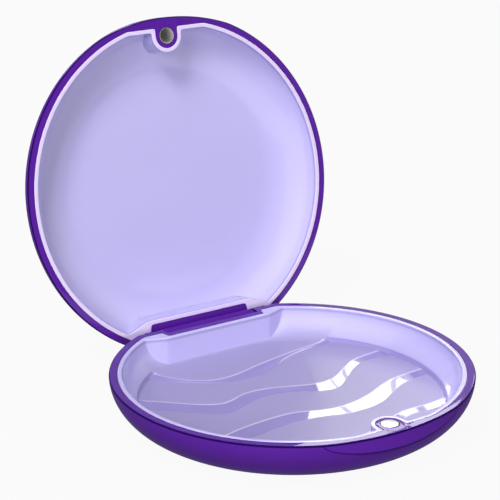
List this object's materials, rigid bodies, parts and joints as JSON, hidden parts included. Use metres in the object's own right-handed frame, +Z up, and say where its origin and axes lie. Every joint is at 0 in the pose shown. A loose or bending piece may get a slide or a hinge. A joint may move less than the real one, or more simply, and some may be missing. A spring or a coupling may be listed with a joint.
{
  "type": "retainer case",
  "caption": "Slim round hinged retainer case, lid open, with glossy lined halves, a rippled tray floor, a back pin hinge and magnetic closure.",
  "frame": {"origin": "centre of the flat underside, where the case stands", "axes": "+Z up; +Y towards the hinge at the back; the magnets and the thumb scoop are at -Y; +X to the right seen from the front"},
  "size_m": [0.085, 0.1052, 0.0848],
  "materials": {
    "shell_plastic": "polished purple moulding",
    "liner_plastic": "polished lavender moulding",
    "magnet_nickel": "nickel plated, flat face",
    "pin_steel": "drawn stainless wire"
  },
  "bodies": {
    "base": {"base_shell": "shell_plastic", "base_liner": "liner_plastic", "base_magnet": "magnet_nickel", "hinge_pin": "pin_steel"},
    "lid": {"lid_shell": "shell_plastic", "lid_liner": "liner_plastic", "lid_magnet": "magnet_nickel"}
  },
  "joints": [
    {"name": "lid_hinge", "type": "hinge", "parent": "base", "child": "lid", "pos_m": [0, 0.0372, 0.00785], "axis": [-1, 0, 0], "range_deg": [-100.8, 0]}
  ]
}
